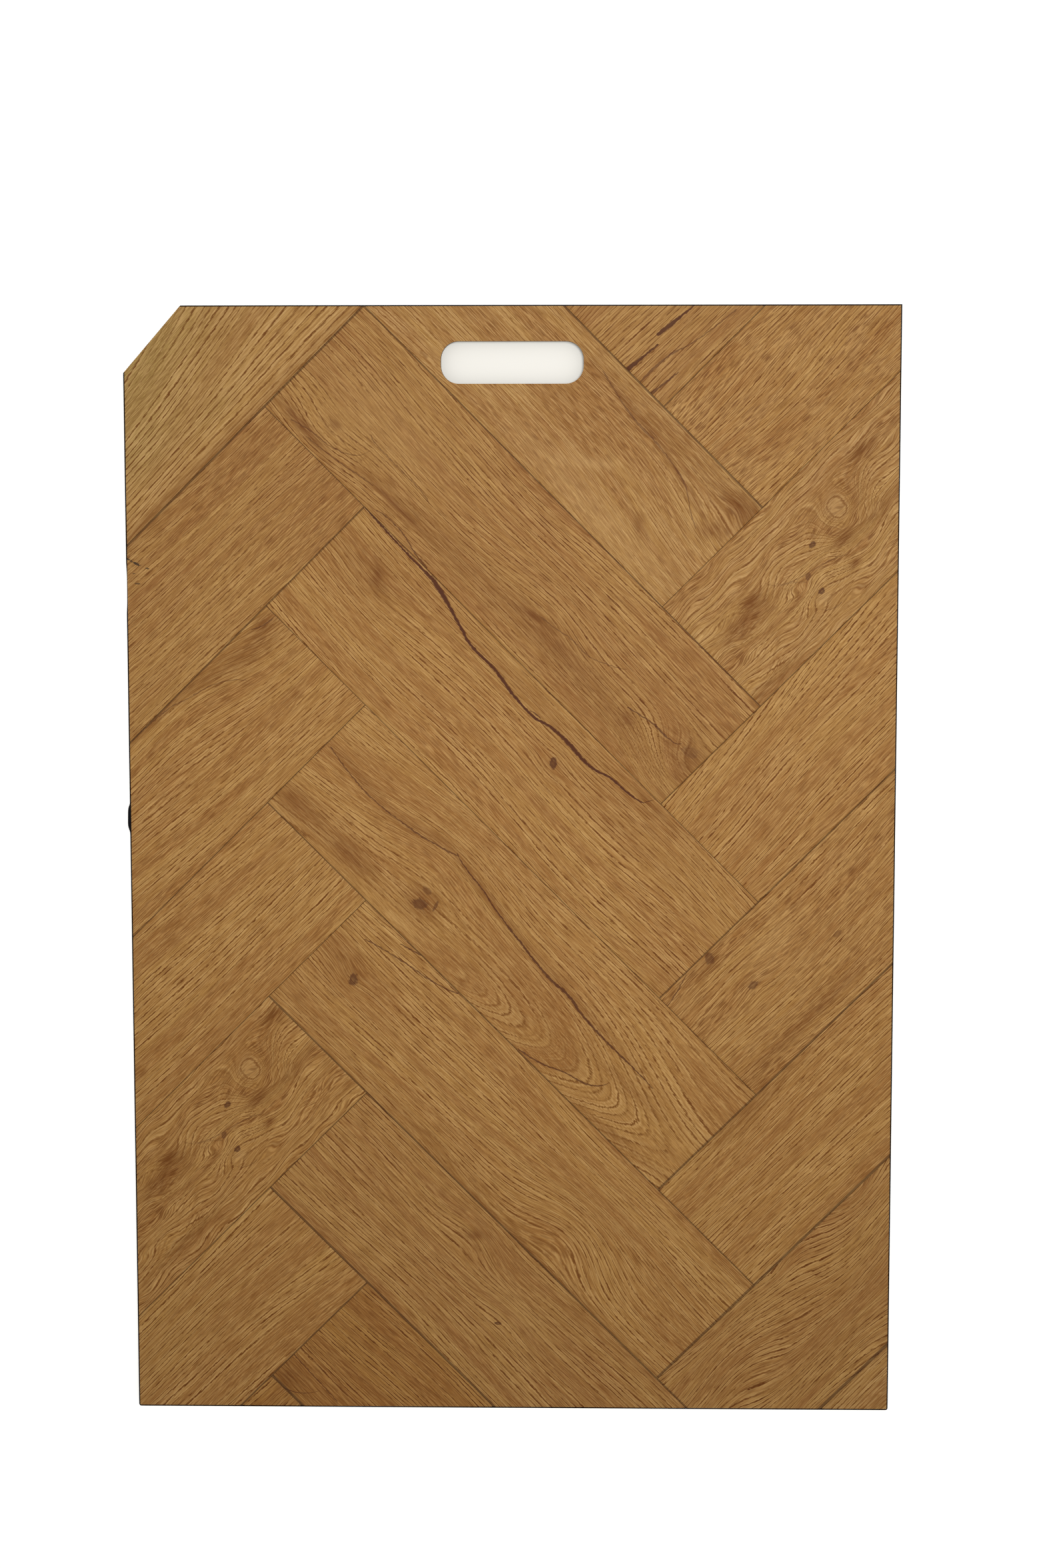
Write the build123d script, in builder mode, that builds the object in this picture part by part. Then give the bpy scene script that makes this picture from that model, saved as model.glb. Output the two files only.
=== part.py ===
import os
from math import ceil, cos, radians, sin

from build123d import *

os.makedirs("parts", exist_ok=True)

# Overall panel, face up, with its hand slot towards +Y
panel_width = 628.0
panel_height = 914.4
board_thickness = 6.0
board_corner_radius = 1.0

# Clipped corner at the upper left, measured along the panel's two outer edges
clip_across = 47.0
clip_down = 54.0

# Hand slot, routed through the board and the vinyl together
slot_length = 115.4
slot_height = 34.0
slot_corner_radius = 14.5
slot_from_top = 45.9
slot_off_centre = 0.8

# Vinyl plank stock, with a pressed bevel along its four factory edges
plank_width = 114.3
plank_length = 457.2
vinyl_thickness = 2.5
bevel_width = 1.6
bevel_depth = 0.4
joint_gap = 0.2

# Herringbone layout, set out so that the slot falls in the middle of one plank: how far that
# plank's middle stands from the slot's, and the small turn that it was laid with
layout_right_of_slot = 1.2
layout_above_slot = 5.6
layout_turn = -0.15
rise_angle = 45.0

# Area in square millimetres under which no offcut is laid
smallest_offcut = 1.0

# Edge band, trimmed a little short of the back face
band_thickness = 1.0
band_setback = 0.4

# Place on the left edge where the band has swollen out: its start, and points of its face
# as distances down from the start and out from the edge
swell_from_top = 403.5
swell_points = ((0, 0), (3.8, 1.0), (7.5, 1.6), (13.5, 1.7), (20.0, 1.55), (23.8, 0.45), (27.0, 0))

# Place on the left edge where the band has worn thin, in the same way, with distances in from the edge
wear_from_top = 207.0
wear_points = ((0, 0), (5.0, 0.3), (12.5, 0.55), (28.0, 0.5), (36.0, 0.3), (41.5, 0))

board_width = panel_width - 2 * band_thickness
board_height = panel_height - 2 * band_thickness
face_height = board_thickness + vinyl_thickness
left_edge = -panel_width / 2
right_edge = panel_width / 2
top_edge = panel_height / 2
slot_middle_y = top_edge - slot_from_top
board_face = Plane.XY.offset(board_thickness)


def rounded_below(width, height, radius):
    """Rectangle in the open sketch, with its two lower corners rounded."""
    Rectangle(width, height)
    fillet(vertices().group_by(Axis.Y)[0], radius=radius)


def clip_corner():
    """Take the clipped corner off the open sketch."""
    Polygon(
        (left_edge, top_edge - clip_down),
        (left_edge + clip_across, top_edge),
        (left_edge, top_edge),
        align=None,
        mode=Mode.SUBTRACT,
    )


def top_strip(mode=Mode.ADD):
    """Strip of the open sketch between the board's top edge and the panel's, mitred at both ends."""
    Polygon(
        (-board_width / 2, board_height / 2),
        (board_width / 2, board_height / 2),
        (right_edge, top_edge),
        (left_edge, top_edge),
        align=None,
        mode=mode,
    )


def down_left_edge(from_top, points, inwards):
    """Places of points on the left edge: inwards is 1 for a worn face and -1 for a swollen one."""
    return [(left_edge + inwards * out, top_edge - from_top - down) for down, out in points]


# Outline that the board and the vinyl share, cut in one pass after the planks are laid
with BuildSketch() as field:
    rounded_below(board_width, board_height, board_corner_radius)
    clip_corner()
    with Locations((slot_off_centre, slot_middle_y)):
        RectangleRounded(slot_length, slot_height, slot_corner_radius, mode=Mode.SUBTRACT)

# Backing board
with BuildPart() as backing_board:
    with BuildSketch(Plane.XY):
        add(field.sketch)
    extrude(amount=board_thickness)
backing_board.part.label = "backing_board"
export_step(backing_board.part, "parts/backing_board.step")

# Layout plane on the board, at the middle of the plank that the slot goes through: x falls to the
# right along the middle column, y rises to the right
fall_direction = radians(layout_turn - rise_angle)
layout = Plane(
    origin=(slot_off_centre + layout_right_of_slot, slot_middle_y + layout_above_slot, board_thickness),
    x_dir=(cos(fall_direction), sin(fall_direction), 0),
    z_dir=(0, 0, 1),
)


def plank_place(row, column):
    """Plane at the middle of a plank's place. Even columns fall to the right, odd columns rise."""
    pair, rising = divmod(column, 2)
    middle_x = row * plank_width + pair * plank_length + rising * (plank_length + plank_width) / 2
    middle_y = -row * plank_width + pair * plank_length + rising * (plank_length - plank_width) / 2
    along = layout.y_dir if rising else layout.x_dir
    return Plane(origin=layout.from_local_coords((middle_x, middle_y, 0)), x_dir=along, z_dir=(0, 0, 1))


def reaches_field(place):
    """True where a plank laid at this place covers some of the board."""
    shown = (board_face * field.sketch) & (place * Rectangle(plank_length, plank_width))
    return sum(face.area for face in shown.faces()) > smallest_offcut


def lay_plank(place, name):
    """Bevelled plank at its place, trimmed to the field and written under its name."""
    with BuildPart() as plank:
        with BuildSketch(place):
            Rectangle(plank_length - joint_gap, plank_width - joint_gap)
        extrude(amount=vinyl_thickness)
        wear_face = plank.faces().sort_by(Axis.Z)[-1]
        chamfer(wear_face.edges(), length=bevel_width, length2=bevel_depth, reference=wear_face)
        with BuildSketch(board_face):
            add(field.sketch)
        extrude(amount=vinyl_thickness, mode=Mode.INTERSECT)
    plank.part.label = name
    export_step(plank.part, f"parts/{name}.step")


# Vinyl planks, row by row in each column, each column with its name and the row of its first plank
columns = {
    -2: ("far_left", 0),
    -1: ("left", 0),
    0: ("middle", 0),
    1: ("right", -1),
    2: ("far_right", -1),
}
filler_row = -1
rows_to_try = ceil((panel_width + panel_height) / plank_width)
for column, (column_name, first_row) in columns.items():
    for row in range(-rows_to_try, rows_to_try):
        place = plank_place(row, column)
        if not reaches_field(place):
            continue
        if column_name == "middle" and row == filler_row:
            lay_plank(place, "top_filler")
        else:
            lay_plank(place, f"{column_name}_plank_{row - first_row + 1}")

# Edge band along the top, cut off by the clip at one end and mitred at the other
with BuildPart() as edge_band_top:
    with BuildSketch(Plane.XY.offset(band_setback)):
        top_strip()
        clip_corner()
    extrude(amount=face_height - band_setback)
edge_band_top.part.label = "edge_band_top"
export_step(edge_band_top.part, "parts/edge_band_top.step")

# Edge band round the other three sides, bent round the two lower corners
edge_ends = ((0, -1), (0, -1))
with BuildPart() as edge_band_wrap:
    with BuildSketch(Plane.XY.offset(band_setback)):
        rounded_below(panel_width, panel_height, board_corner_radius + band_thickness)
        with BuildLine():
            swelling = Spline(*down_left_edge(swell_from_top, swell_points, -1), tangents=edge_ends)
            Line(swelling @ 1, swelling @ 0)
        make_face()
        with BuildLine():
            worn_face = Spline(*down_left_edge(wear_from_top, wear_points, 1), tangents=edge_ends)
            Line(worn_face @ 1, worn_face @ 0)
        make_face(mode=Mode.SUBTRACT)
        top_strip(mode=Mode.SUBTRACT)
        clip_corner()
    extrude(amount=face_height - band_setback)
    with BuildSketch(Plane.XY.offset(band_setback)):
        rounded_below(board_width, board_height, board_corner_radius)
    extrude(amount=face_height - band_setback, mode=Mode.SUBTRACT)
edge_band_wrap.part.label = "edge_band_wrap"
export_step(edge_band_wrap.part, "parts/edge_band_wrap.step")
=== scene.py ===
"""Looks of a herringbone sample panel in oak-printed vinyl planks, dressed on its fixed frame.

Everything is in metres, in the panel's own frame: the face looks up and the hand slot is
towards +Y. Grain is given in millimetres along and across each plank, as it is printed.
"""

import logging
from collections.abc import Sequence
from dataclasses import dataclass
from enum import Enum
from math import atan2, pi, radians

import bpy
from mathutils import Matrix, Vector


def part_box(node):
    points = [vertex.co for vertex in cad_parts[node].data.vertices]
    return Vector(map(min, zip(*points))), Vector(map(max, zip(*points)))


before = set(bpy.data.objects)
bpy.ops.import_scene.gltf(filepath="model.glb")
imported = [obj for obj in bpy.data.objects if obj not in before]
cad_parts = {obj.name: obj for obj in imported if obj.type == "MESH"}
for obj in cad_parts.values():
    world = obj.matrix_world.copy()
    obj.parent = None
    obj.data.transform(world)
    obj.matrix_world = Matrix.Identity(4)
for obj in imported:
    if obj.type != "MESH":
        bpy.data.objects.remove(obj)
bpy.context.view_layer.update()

MM = 0.001
LOG = logging.getLogger("panel")
Material = bpy.types.Material
NodeTree = bpy.types.NodeTree
Socket = bpy.types.NodeSocket
Pair = tuple[float, float]
# Node settings that come up often: add a share of the first input to the third, ease in and out, and
# take a place into a frame of its own
ADD_SHARE = {"operation": "MULTIPLY_ADD"}
SMOOTH = {"interpolation_type": "SMOOTHSTEP"}
INTO = {"vector_type": "TEXTURE"}


def linear(colour: str) -> tuple[float, float, float, float]:
    """Turn an sRGB hex colour into a linear one.

    Args:
        colour: the colour as six hex digits after a hash.

    Returns:
        Linear red, green and blue, with full alpha.
    """
    shares = [int(colour[at : at + 2], 16) / 255 for at in (1, 3, 5)]
    parts = [c / 12.92 if c <= 0.04045 else ((c + 0.055) / 1.055) ** 2.4 for c in shares]
    return (*parts, 1.0)


def add_node(tree: NodeTree, kind: str, *inputs: object, **settings: object) -> Socket:
    """Add one shader node, with its settings and links.

    Args:
        tree: the material's or world's node tree.
        kind: the node's name without its "ShaderNode".
        inputs: for each input in order, a socket to link, a value, or None to leave it. A dict
            gives inputs by their names.
        settings: attributes of the node, set before its inputs.

    Returns:
        The node's first output.
    """
    node = tree.nodes.new("ShaderNode" + kind)
    for name, value in settings.items():
        setattr(node, name, value)
    sockets = [socket for socket in node.inputs if socket.enabled]
    pairs = []
    for place, value in enumerate(inputs):
        if isinstance(value, dict):
            pairs += [(node.inputs[name], given) for name, given in value.items()]
        else:
            pairs.append((sockets[place], value))
    for socket, value in pairs:
        if isinstance(value, Socket):
            tree.links.new(value, socket)
        elif value is not None:
            socket.default_value = value
    return next((socket for socket in node.outputs if socket.enabled), None)


def new_material(name: str) -> tuple[Material, NodeTree]:
    """Make an empty node material.

    Args:
        name: the finish's name.

    Returns:
        The material and its node tree.
    """
    material = bpy.data.materials.new(name)
    material.use_nodes = True
    material.node_tree.nodes.clear()
    return material, material.node_tree


def millimetres(tree: NodeTree) -> Socket:
    """Give each place on a piece in millimetres."""
    spot = add_node(tree, "TexCoord").node.outputs["Object"]
    return add_node(tree, "Mapping", spot, None, None, (MM, MM, MM), **INTO)


def background_rays(tree: NodeTree) -> Socket:
    """Pick out the rays that show the background.

    Args:
        tree: the material's or world's node tree.

    Returns:
        1 for rays of the camera, off a glossy surface or through glass, and 0 for the others.
    """
    paths = add_node(tree, "LightPath").node.outputs
    seen = add_node(tree, "Math", paths["Is Camera Ray"], paths["Is Glossy Ray"], operation="MAXIMUM")
    return add_node(tree, "Math", seen, paths["Is Transmission Ray"], operation="MAXIMUM")


def dress(node: str, material: Material) -> None:
    """Give a CAD node its finish, in all of its material slots.

    Args:
        node: the node's name.
        material: the finish.
    """
    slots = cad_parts[node].data.materials
    slots.clear()
    slots.append(material)


class Tone(Enum):
    """Tones of oak that the panel mixes, from the palest to the darkest."""

    LIGHT = "oak_light"
    MEDIUM = "oak_medium"
    BROWN = "oak_brown"
    DARK = "oak_dark"


@dataclass(frozen=True)
class OakColours:
    """Inks of one printed oak tone, as sRGB hex."""

    ground: str
    shade: str
    pore: str
    # pale ink for paler figure, and for the painted highlights beside the pores
    pale_and_painted_highlight: str


# Inks of the four tones: ground between the pores, broad darker streaks, pores, pale figure and painted
# highlights
COLOURS = {
    Tone.LIGHT: OakColours("#AA7F43", "#915F30", "#643502", "#C59E66"),
    Tone.MEDIUM: OakColours("#A87B3F", "#905D2C", "#623302", "#C49B60"),
    Tone.BROWN: OakColours("#A3773D", "#8A572A", "#5E3002", "#BE955B"),
    Tone.DARK: OakColours("#9D6E32", "#845123", "#582B02", "#B78B50"),
}
# Paler olive ink, laid in soft spots of a print
OLIVE_TINT_INK = "#9A7F44"
CRACK_INK = "#461D08"
JOINT_INK = "#3A2110"
SCUFF_INK = "#2C2017"


@dataclass(frozen=True)
class Spot:
    """Soft oval spot on a print, in millimetres, turned in degrees from the plank's length.

    What its strength does depends on the list that it stands in: swells push the fibres aside
    and eyes raise the rings, both by that many millimetres. Knots, patches and scuffs darken by
    that share, patches below 0 lighten by it, and olive tints lay a paler olive ink by it.
    """

    along: float
    across: float
    length: float
    width: float
    strength: float
    turn: float = 0.0


@dataclass(frozen=True)
class Crack:
    """Dark crack along the grain: places along and across, each with the crack's width there."""

    darkness: float
    places: tuple[tuple[float, float, float], ...]

    @classmethod
    def through(cls, darkness: float, *places: tuple[float, float, float]) -> "Crack":
        """Draw a crack of that darkness through the places given."""
        return cls(darkness, places)


@dataclass(frozen=True)
class OakPrint:
    """Drawing of the oak grain printed on a plank, in millimetres and degrees.

    The rings run alongside a heart. With an arch they meet over the heart's line in nested tips
    that point ahead, as on a board cut through a log's heart: they climb by its height over its
    reach behind and ahead of the heart, and run straight again beside its width. The lines spread
    by the share `fan` over each 100 mm, and wander in waves of a stated size. The shares `lines`,
    `broken`, `pores` and `ripple` say how strong the ring lines are, how broken up, and how much
    there is of loose pores and of the paler cross ripple.
    """

    heart: Pair = (0.0, -150.0)
    arch: float = 0.0
    arch_width: float = 60.0
    tip: float = 3.0
    reach: Pair = (100.0, 100.0)
    turn: float = 0.0
    fan: float = 0.0
    ring_spacing: float = 3.4
    wander: float = 4.0
    waves: Pair = (190.0, 55.0)
    lines: float = 1.0
    broken: float = 1.0
    pores: float = 0.5
    ripple: float = 0.0
    seed: float = 0.0
    swells: tuple[Spot, ...] = ()
    eyes: tuple[Spot, ...] = ()
    knots: tuple[Spot, ...] = ()
    patches: tuple[Spot, ...] = ()
    olive_tints: tuple[Spot, ...] = ()
    cracks: tuple[Crack, ...] = ()


@dataclass(frozen=True)
class PrintedVinyl:
    """Luxury vinyl plank: a calendered PVC core under a printed oak film and a wear layer.

    The wear layer is embossed in register with the print, so pores and cracks are slightly
    sunk, and its matt lacquer gives the eye a dull, even sheen with no sharp reflections.
    """

    roughness: float = 0.5
    ior: float = 1.5
    specular_level: float = 0.12
    emboss_depth: float = 0.1 * MM
    film_depth: float = 0.7 * MM
    film_blur: float = 0.1 * MM
    core_ink: str = "#32281F"


@dataclass(frozen=True)
class Streaks:
    """Soft streaks of the grain: one's length and width in millimetres, and octaves of finer ones.

    They come in between the two values of their noise that `fade` gives.
    """

    length: float
    width: float
    detail: float = 0.0
    fade: Pair = (0.0, 1.0)


@dataclass(frozen=True)
class GrainSizes:
    """Sizes that all prints share, in millimetres.

    Pores and hairs, which are about 0.3 mm wide in real oak, are drawn as coarse as they need to
    show. The shifts say how far the streaks of that name push a ring line aside. The pairs at the
    end are distances from the plank's edge, between which the bevel's tone, the joint's line and
    the rim without emboss end.
    """

    drift: Streaks = Streaks(210, 12)
    dash: Streaks = Streaks(13, 0.75, 1.0)
    rag: Streaks = Streaks(3.4, 2.2, 1.0)
    gap: Streaks = Streaks(60, 3.6, 1.0)
    calm: Streaks = Streaks(260, 15, 0.0, (0.5, 0.72))
    ripple: Streaks = Streaks(46, 15, 2.0, (0.47, 0.6))
    pore: Streaks = Streaks(11, 0.55, 0.0, (0.54, 0.66))
    hair: Streaks = Streaks(16, 0.6, 0.0, (0.5, 0.72))
    shade: Streaks = Streaks(150, 9, 2.0, (0.3, 0.7))
    cloud: Streaks = Streaks(120, 45, 0.0, (0.35, 0.75))
    stain: Streaks = Streaks(26, 2.6, 1.0)
    rub: Streaks = Streaks(0.9, 2.4, 1.0)
    drift_shift: float = 5.0
    dash_shift: float = 1.5
    rag_shift: float = 0.7
    thinnest_crack: float = 0.02
    bevel: Pair = (0.9, 2.6)
    joint: Pair = (0.12, 0.45)
    smooth_rim: Pair = (1.0, 2.4)


@dataclass(frozen=True)
class GrainTones:
    """How strongly each part of the grain shows, as shares.

    A fade is the two values between which a part comes in. A pair with "by" in its name holds
    what a full streak, calm or the like adds, and then the share without it.
    """

    calm: float = 0.7
    patch_calm: float = 2.2
    lines_by_calm: Pair = (-0.8, 1.0)
    pores_by_calm: Pair = (0.65, 0.35)
    streak_shade: float = 0.35
    cloud_shade: float = 0.3
    calm_shade: float = 0.8
    ripple_paleness: float = 0.4
    gap_weight: float = 1.6
    dash_fade: Pair = (1.0, 1.35)
    dash_loss: float = 0.65
    faint: float = 0.32
    faint_fade: Pair = (0.4, 0.68)
    faint_least: float = 0.3
    # Painted highlights beside the pores, which stand in for light on the embossed relief
    painted_highlight_fade: Pair = (0.36, 0.62)
    painted_highlight_least: float = 0.2
    painted_highlight_by_lines: Pair = (0.6, 0.15)
    pale_hair: float = 0.36
    dark_hair: float = 0.3
    dark_hair_fade: Pair = (0.48, 0.28)
    patch_by_streak: Pair = (1.2, 0.4)
    scuff_by_streak: Pair = (1.6, 0.2)
    scuff_fade: Pair = (0.34, 0.6)
    knot_dashes: float = 0.4
    knot_rags: float = 0.5
    knot_level: float = 0.45
    torn_by_rags: Pair = (1.6, -0.8)
    crack_side: Pair = (0.6, 1.25)
    bevel: float = 0.04
    joint: float = 0.6
    uneven_sheen: float = 0.1


SIZES = GrainSizes()
TONING = GrainTones()

# Darkness over one ring, from its row of pores to the next, and brightness: a painted highlight that stands
# in for light on the embossed relief
RING_DARK = ((0, 0.8), (0.06, 1.0), (0.15, 0.55), (0.25, 0.0), (0.9, 0.0), (1, 0.8))
RING_PAINTED_HIGHLIGHT = ((0, 0.0), (0.18, 0.1), (0.3, 0.9), (0.5, 0.25), (0.72, 0.5), (0.84, 0.9), (0.94, 0))
# Fainter lines: how many there are to a ring, and darkness from one to the next
FAINT_LINES = 2.37
FAINT_DARK = ((0, 0.7), (0.1, 1.0), (0.3, 0.3), (0.5, 0.0), (0.8, 0.0), (1, 0.7))
# Darkness of a knot, from outside it to its middle
KNOT_DARK = ((0, 0), (0.2, 0), (0.38, 0.8), (0.55, 1), (0.75, 0.95), (1, 0.75))
# Height of a hill at its spot's rim, and a spot's reach upwards, past any panel's thickness
RIM = 0.37
ANY_DEPTH = 1e4
# How noise is drawn: steps from one print's seed to the next along and across, how rough its finer
# octaves are, and one over the share of its range that it mostly keeps to
SEED_STEPS = (7.3, 3.1)
NOISE_ROUGHNESS = 0.55
NOISE_SPREAD = 4
# Share of a crack's curve that is left free at each of its ends
CRACK_MARGIN = 0.01


@dataclass(frozen=True)
class Lattice:
    """Herringbone lattice, read off two whole planks of the middle column."""

    start: Vector
    fall: Vector
    rise: Vector
    width: float
    length_in_widths: float = 4.0

    @classmethod
    def from_frame(cls) -> "Lattice":
        """Measure the lattice on the frame.

        Returns:
            The lattice.
        """
        second, third = (sum(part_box(node), Vector()) / 2 for node in ("middle_plank_2", "middle_plank_3"))
        step = third - second
        fall = Matrix.Rotation(radians(45), 3, "Z") @ step.normalized()
        rise = Matrix.Rotation(radians(90), 3, "Z") @ fall
        return cls(start=second - step, fall=fall, rise=rise, width=step.length / 2**0.5)

    @property
    def length(self) -> float:
        """Length of a whole plank."""
        return self.length_in_widths * self.width

    def place(self, column: int, row: int) -> tuple[Vector, float]:
        """Find where a plank lies.

        Args:
            column: -1, 0 or 1 for the left, middle or right column.
            row: the plank's row, counted down from the middle column's first plank.

        Returns:
            The plank's middle, and the angle of its length from +X.
        """
        rising = column % 2
        along = self.rise if rising else self.fall
        reach = (column // 2) * self.length
        over = reach + row * self.width + rising * (self.length + self.width) / 2
        up = reach - row * self.width + rising * (self.length - self.width) / 2
        middle = self.start + over * self.fall + up * self.rise
        return middle, atan2(along.y, along.x)


@dataclass(frozen=True)
class Plank:
    """One plank as laid: its place, its tone, and the part of a print that it carries."""

    node: str
    column: int
    row: int
    tone: Tone
    grain: OakPrint
    shift: Pair = (0.0, 0.0)
    cross_cut: bool = False
    scuffs: tuple[Spot, ...] = ()


class PlankFinish:
    """Node material of one plank, drawn from its print.

    Its places are in millimetres along and across: on the plank's whole stock, on the print, on the
    print with its fibres bent, and on the fibres, there with the distance across the rings.
    """

    def __init__(self, plank: Plank, lattice: Lattice, vinyl: PrintedVinyl) -> None:
        """Start the material, and lay out the places that its drawing follows.

        Args:
            plank: the plank that the material is for.
            lattice: the herringbone lattice.
            vinyl: what the plank is made of.
        """
        self.plank, self.vinyl = plank, vinyl
        self.grain = plank.grain
        self.inks = COLOURS[plank.tone]
        self.half_size = (lattice.length / MM / 2, lattice.width / MM / 2, 0)
        self.material, self.tree = new_material(f"oak_printed_vinyl_{plank.node}")
        self.spot = self.add("TexCoord").node.outputs["Object"]
        middle, angle = lattice.place(plank.column, plank.row)
        self.stock = self.add("Mapping", self.spot, middle, (0, 0, angle), (MM, MM, MM), **INTO)
        turn = pi / 2 if plank.cross_cut else 0.0
        self.place = self.add("Mapping", self.stock, (*plank.shift, 0), (0, 0, turn), **INTO)
        self.bent = self.bend()
        self.dashes = self.noise(self.bent, SIZES.dash)
        self.rags = self.noise(self.bent, SIZES.rag)
        self.rings, self.fibre = self.follow_rings()
        self.stains = self.noise(self.fibre, SIZES.stain)
        self.patches = [(patch, self.hill(self.place, patch)) for patch in self.grain.patches]
        ripple = self.grain.ripple
        self.ripples = self.streaks(self.bent, SIZES.ripple, ripple) if ripple else None
        self.calm = self.calmness()

    def add(self, kind: str, *inputs: object, **settings: object) -> Socket:
        """Add a node to this material, as add_node does."""
        return add_node(self.tree, kind, *inputs, **settings)

    def times(self, first: object, *others: object) -> Socket:
        """Multiply several values.

        Args:
            first: the first value.
            others: the other values.

        Returns:
            Their product.
        """
        for value in others:
            first = self.add("Math", first, value, operation="MULTIPLY")
        return first

    def largest(self, first: object, *others: object) -> Socket:
        """Take the largest of several values.

        Args:
            first: the first value.
            others: the other values.

        Returns:
            The largest of them.
        """
        for value in others:
            first = self.add("Math", first, value, operation="MAXIMUM")
        return first

    def lay_ink(self, share: object, under: object, ink: str) -> Socket:
        """Lay an ink over a colour by a share."""
        return self.add("Mix", share, under, linear(ink), data_type="RGBA")

    def noise(self, place: Socket, streaks: Streaks) -> Socket:
        """Draw the noise of soft streaks, another one in each print.

        Args:
            place: place along and across, in millimetres.
            streaks: the streaks' sizes.

        Returns:
            The noise, from 0 to 1.
        """
        steps = [self.grain.seed * step for step in SEED_STEPS]
        offset = (steps[0] + streaks.length, steps[1] + streaks.width, 0)
        scaled = self.add("Mapping", place, offset, None, (1 / streaks.length, 1 / streaks.width, 0))
        return self.add("TexNoise", scaled, 1.0, streaks.detail, NOISE_ROUGHNESS, noise_dimensions="2D")

    def streaks(self, place: Socket, streaks: Streaks, most: float = 1.0) -> Socket:
        """Draw streaks that come in over their fade, to the most given."""
        return self.add("MapRange", self.noise(place, streaks), *streaks.fade, 0.0, most, **SMOOTH)

    def curve(self, value: object, points: Sequence[Pair]) -> Socket:
        """Draw a smooth curve through points.

        Args:
            value: the value that the curve is read at, from 0 to 1.
            points: the curve's points, from the first to the last.

        Returns:
            The curve's height there.
        """
        drawn = self.add("FloatCurve", 1.0, value)
        curve = drawn.node.mapping.curves[0]
        curve.points[0].location, curve.points[1].location = points[0], points[-1]
        for point in points[1:-1]:
            curve.points.new(*point)
        drawn.node.mapping.update()
        return drawn

    def hill(self, place: Socket, spot: Spot) -> Socket:
        """Raise a smooth hill on a spot.

        Args:
            place: place along and across, in millimetres.
            spot: the spot.

        Returns:
            The hill's height, which is 1 in the spot's middle and RIM at its rim.
        """
        centre = (spot.along, spot.across, 0)
        size = (spot.length / 2, spot.width / 2, ANY_DEPTH)
        own = self.add("Mapping", place, centre, (0, 0, radians(spot.turn)), size, **INTO)
        squared = self.add("VectorMath", own, own, operation="DOT_PRODUCT").node.outputs["Value"]
        return self.add("Math", RIM, squared, operation="POWER")

    def bend(self) -> Socket:
        """Bend the plank's straight fibres in waves and round the swells.

        Returns:
            The place on the print with its fibres bent.
        """
        grain = self.grain
        along, across, _ = self.add("SeparateXYZ", self.place).node.outputs
        waves = self.noise(self.place, Streaks(*grain.waves))
        across = self.add("Math", waves, NOISE_SPREAD * grain.wander, across, **ADD_SHARE)
        for swell in grain.swells:
            across = self.add("Math", self.hill(self.place, swell), -swell.strength, across, **ADD_SHARE)
        return self.add("CombineXYZ", along, across, 0)

    def heart_distance(self) -> Socket:
        """Measure how far each place is from the heart, across the rings.

        Returns:
            The distance, in millimetres.
        """
        grain = self.grain
        centre = (grain.heart[0], grain.heart[1], 0)
        own = self.add("Mapping", self.bent, centre, (0, 0, radians(grain.turn)), **INTO)
        ahead, aside, _ = self.add("SeparateXYZ", own).node.outputs
        if grain.fan:
            aside = self.times(aside, self.add("Math", ahead, -grain.fan / 100, 1.0, **ADD_SHARE))
        if grain.arch:
            back, front = grain.reach
            beside = self.add("CombineXYZ", aside, grain.tip, 0)
            beside = self.add("VectorMath", beside, operation="LENGTH").node.outputs["Value"]
            climb = self.add("MapRange", ahead, -back, front, 0.0, grain.arch, **SMOOTH)
            squared = self.times(aside, aside, (2 / grain.arch_width) ** 2)
            ridge = self.add("Math", RIM, squared, operation="POWER")
            aside = self.add("Math", ridge, climb, beside, **ADD_SHARE)
        for eye in grain.eyes:
            aside = self.add("Math", self.hill(self.bent, eye), eye.strength, aside, **ADD_SHARE)
        return aside

    def follow_rings(self) -> tuple[Socket, Socket]:
        """Count the rings, at uneven distances and with ragged lines.

        Returns:
            The distance across the rings, and the place on the fibres.
        """
        along = self.add("SeparateXYZ", self.place).node.outputs[0]
        rings = self.heart_distance()
        drift = self.noise(self.add("CombineXYZ", along, rings, 0), SIZES.drift)
        rings = self.add("Math", drift, SIZES.drift_shift, rings, **ADD_SHARE)
        fibre = self.add("CombineXYZ", along, rings, 0)
        rings = self.add("Math", self.dashes, SIZES.dash_shift, rings, **ADD_SHARE)
        rings = self.add("Math", self.rags, SIZES.rag_shift, rings, **ADD_SHARE)
        return rings, fibre

    def calmness(self) -> Socket:
        """Draw the calm places, which have fewer and fainter lines and many fine pores.

        Returns:
            How calm the grain is, from 0 to 1.
        """
        calm = self.streaks(self.fibre, SIZES.calm, TONING.calm)
        for patch, hill in self.patches:
            most = min(1.0, TONING.patch_calm * abs(patch.strength))
            calm = self.largest(calm, self.times(hill, most))
        return calm if self.ripples is None else self.largest(calm, self.ripples)

    def ground(self) -> Socket:
        """Colour the wood between the grain lines.

        Returns:
            The ground's colour.
        """
        shade = self.times(self.streaks(self.fibre, SIZES.shade), TONING.streak_shade)
        cloud = self.streaks(self.place, SIZES.cloud)
        shade = self.add("Math", cloud, TONING.cloud_shade, shade, **ADD_SHARE)
        shade = self.largest(shade, self.times(self.calm, TONING.calm_shade))
        colour = self.lay_ink(shade, linear(self.inks.ground), self.inks.shade)
        # A paler olive tint, laid in soft spots
        for olive_spot in self.grain.olive_tints:
            share = self.times(self.hill(self.place, olive_spot), olive_spot.strength)
            colour = self.lay_ink(share, colour, OLIVE_TINT_INK)
        if self.ripples is not None:
            share = self.times(self.ripples, TONING.ripple_paleness)
            colour = self.lay_ink(share, colour, self.inks.pale_and_painted_highlight)
        return colour

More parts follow.
